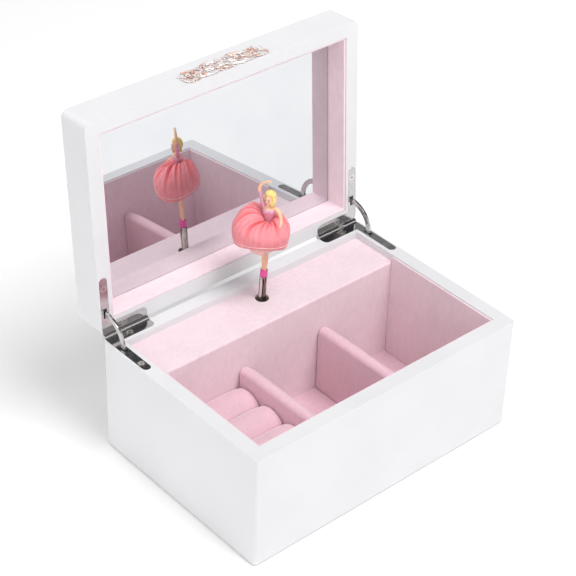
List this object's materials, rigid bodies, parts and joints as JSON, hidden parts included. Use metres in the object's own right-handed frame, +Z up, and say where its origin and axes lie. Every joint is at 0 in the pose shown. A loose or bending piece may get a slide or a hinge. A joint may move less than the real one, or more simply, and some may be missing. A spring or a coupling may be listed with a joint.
{
  "type": "wind-up music box",
  "caption": "Lined wooden jewellery box with a mirror lid on quadrant hinges, padded compartments and a spring-driven dancer on a small clockwork.",
  "frame": {"origin": "centre of the underside", "axes": "+X to the right seen from the front, +Y from the front to the hinges, +Z up"},
  "size_m": [0.185, 0.1566, 0.2009],
  "materials": {
    "white_paint": "satin white painted board",
    "hardboard": "brown hardboard",
    "greyboard": "grey board",
    "felt": "thin dusty pink felt",
    "velvet": "pale pink velvet over thin padding",
    "velvet_roll": "pale pink velvet over foam",
    "chrome": "bright chromed steel",
    "steel": "plain steel",
    "nickel": "nickelled steel",
    "cast": "die-cast zinc",
    "brass": "machined brass",
    "mirror": "silvered glass",
    "backing": "foam adhesive sheet",
    "ornament": "rose silver plated casting",
    "spring_steel": "blued spring steel",
    "doll": "painted moulded plastic",
    "organza": "coral pink organza"
  },
  "bodies": {
    "base": {"base_shell": "white_paint", "bottom_panel": "hardboard", "base_felt": "felt", "partition_panel": "greyboard", "shelf_panel": "greyboard", "floor_lining": "velvet", "front_lining": "velvet", "left_lining": "velvet", "right_lining": "velvet", "shelf_lining": "velvet", "left_divider": "velvet_roll", "right_divider": "velvet_roll", "ring_roll_1": "velvet_roll", "ring_roll_2": "velvet_roll", "ring_roll_3": "velvet_roll", "ring_roll_4": "velvet_roll", "base_hinge_left": "chrome", "base_hinge_right": "chrome", "hinge_pins": "steel", "base_hinge_screws": "chrome", "bedplate": "steel", "bedplate_screws": "steel", "comb_block": "cast", "comb": "spring_steel", "comb_screws": "steel", "cylinder_brackets": "cast", "key_bush": "nickel", "governor_bracket": "cast", "spindle_bracket": "cast"},
    "lid": {"lid_shell": "white_paint", "lid_lining": "velvet", "mirror": "mirror", "mirror_backing": "backing", "ornament": "ornament", "lid_hinge_left": "chrome", "lid_hinge_right": "chrome", "lid_hinge_screws": "chrome"},
    "arm_left": {"support_arm_left": "chrome"},
    "arm_right": {"support_arm_right": "chrome"},
    "cylinder": {"cylinder_drum": "brass", "cylinder_arbor": "steel", "cylinder_gear": "brass", "cylinder_pinion": "brass"},
    "barrel": {"spring_barrel": "nickel", "barrel_cover": "nickel", "mainspring": "spring_steel"},
    "winder": {"winding_arbor": "steel", "winding_key": "nickel"},
    "governor_train": {"governor_wheel": "brass"},
    "air_brake": {"governor_worm": "steel", "governor_fan": "steel"},
    "spindle_shaft": {"spindle": "steel", "spindle_gear": "brass"},
    "dancer_mast": {"dancer_spring": "nickel"},
    "dancer": {"dancer_tube": "nickel", "dancer_figure": "doll", "dancer_skirt": "organza"}
  },
  "joints": [
    {"name": "lid_hinge", "type": "hinge", "parent": "base", "child": "lid", "pos_m": [0, 0.0647, 0.0717], "axis": [1, 0, 0], "range_deg": [0, 93.6]},
    {"name": "arm_left_swing", "type": "hinge", "parent": "base", "child": "arm_left", "pos_m": [-0.0889, 0.0647, 0.0717], "axis": [1, 0, 0], "range_deg": [0, 46.9]},
    {"name": "arm_right_swing", "type": "hinge", "parent": "base", "child": "arm_right", "pos_m": [0.0889, 0.0647, 0.0717], "axis": [1, 0, 0], "range_deg": [0, 46.9]},
    {"name": "dancer_fold", "type": "hinge", "parent": "base", "child": "dancer_mast", "pos_m": [0.0023, 0.0443, 0.0698], "axis": [1, 0, 0], "range_deg": [0, 88.08], "deforming": ["dancer_spring"]},
    {"name": "dancer_spin", "type": "hinge", "parent": "dancer_mast", "child": "dancer", "pos_m": [0.0023, 0.0443, 0.0698], "axis": [0.0337, -0.0304, 0.999], "continuous": true},
    {"name": "cylinder_spin", "type": "hinge", "parent": "base", "child": "cylinder", "pos_m": [-0.0073, 0.0443, 0.02996], "axis": [0, 0, 1], "continuous": true},
    {"name": "barrel_spin", "type": "hinge", "parent": "base", "child": "barrel", "pos_m": [-0.0073, 0.0443, 0.01628], "axis": [0, 1, 0], "continuous": true},
    {"name": "key_wind", "type": "hinge", "parent": "base", "child": "winder", "pos_m": [-0.0073, 0.0635, 0.01628], "axis": [0, 1, 0], "continuous": true},
    {"name": "governor_spin", "type": "hinge", "parent": "base", "child": "governor_train", "pos_m": [-0.0157, 0.0443, 0.04816], "axis": [0, 0, 1], "continuous": true},
    {"name": "fan_spin", "type": "hinge", "parent": "base", "child": "air_brake", "pos_m": [-0.021, 0.0443, 0.05176], "axis": [0, 1, 0], "continuous": true},
    {"name": "spindle_spin", "type": "hinge", "parent": "base", "child": "spindle_shaft", "pos_m": [0.0023, 0.0443, 0.04816], "axis": [0, 0, 1], "continuous": true}
  ],
  "couplings": [
    {"joint": "arm_left_swing", "follows": "lid_hinge", "ratio": 0.5},
    {"joint": "arm_right_swing", "follows": "lid_hinge", "ratio": 0.5},
    {"joint": "dancer_fold", "follows": "lid_hinge", "ratio": 0.94},
    {"joint": "barrel_spin", "follows": "cylinder_spin", "ratio": -0.47059},
    {"joint": "governor_spin", "follows": "cylinder_spin", "ratio": -3.2},
    {"joint": "fan_spin", "follows": "cylinder_spin", "ratio": -64},
    {"joint": "spindle_spin", "follows": "cylinder_spin", "ratio": -2},
    {"joint": "dancer_spin", "follows": "cylinder_spin", "ratio": -2}
  ]
}
